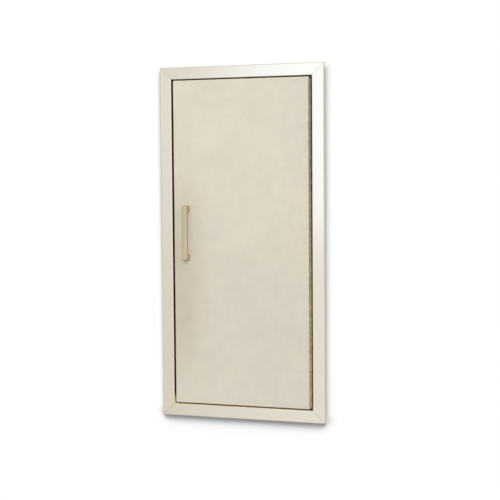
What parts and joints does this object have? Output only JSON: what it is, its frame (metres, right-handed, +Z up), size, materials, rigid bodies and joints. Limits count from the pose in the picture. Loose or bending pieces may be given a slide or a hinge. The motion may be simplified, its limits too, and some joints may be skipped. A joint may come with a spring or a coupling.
{
  "type": "recessed wall cabinet",
  "caption": "Fully recessed wall cabinet with a mitred satin steel trim and one flush solid door on a continuous hinge, with a cast pull handle.",
  "frame": {"origin": "on the wall's face, at the middle of the bottom trim's back flange", "axes": "+X to the right of someone facing the door, +Y into the wall, +Z up"},
  "size_m": [0.3556, 0.1904, 0.7366],
  "materials": {
    "trim_stainless": "satin stainless, grain along each member",
    "door_stainless": "satin stainless, soft mottling",
    "tub_steel": "pale warm grey baked enamel on steel sheet",
    "plain_steel": "mill-finish steel",
    "hinge_steel": "satin stainless, darkened between the knuckles",
    "handle_metal": "satin, warm grey",
    "catch_plastic": "moulded, off-white"
  },
  "bodies": {
    "cabinet": {"trim_left": "trim_stainless", "trim_right": "trim_stainless", "trim_bottom": "trim_stainless", "trim_top": "trim_stainless", "corner_key_upper_left": "plain_steel", "corner_key_upper_right": "plain_steel", "corner_key_lower_left": "plain_steel", "corner_key_lower_right": "plain_steel", "tub_left_side": "tub_steel", "tub_right_side": "tub_steel", "tub_bottom": "tub_steel", "tub_top": "tub_steel", "tub_back": "tub_steel", "hinge_frame_leaf": "hinge_steel", "hinge_pin": "hinge_steel", "hinge_backing_bar": "hinge_steel", "catch_housing": "catch_plastic", "catch_pole_outer": "plain_steel", "catch_pole_inner": "plain_steel"},
    "door": {"door_skin": "door_stainless", "door_stiffener": "plain_steel", "hinge_door_leaf": "hinge_steel", "pull_handle": "handle_metal", "handle_backing_plate": "plain_steel", "handle_screw_lower": "plain_steel", "handle_screw_upper": "plain_steel", "catch_strike": "plain_steel"}
  },
  "joints": [
    {"name": "door_hinge", "type": "hinge", "parent": "cabinet", "child": "door", "pos_m": [0.1487, -0.0132, 0.3633], "axis": [0, 0, 1], "range_deg": [0, 170]}
  ]
}
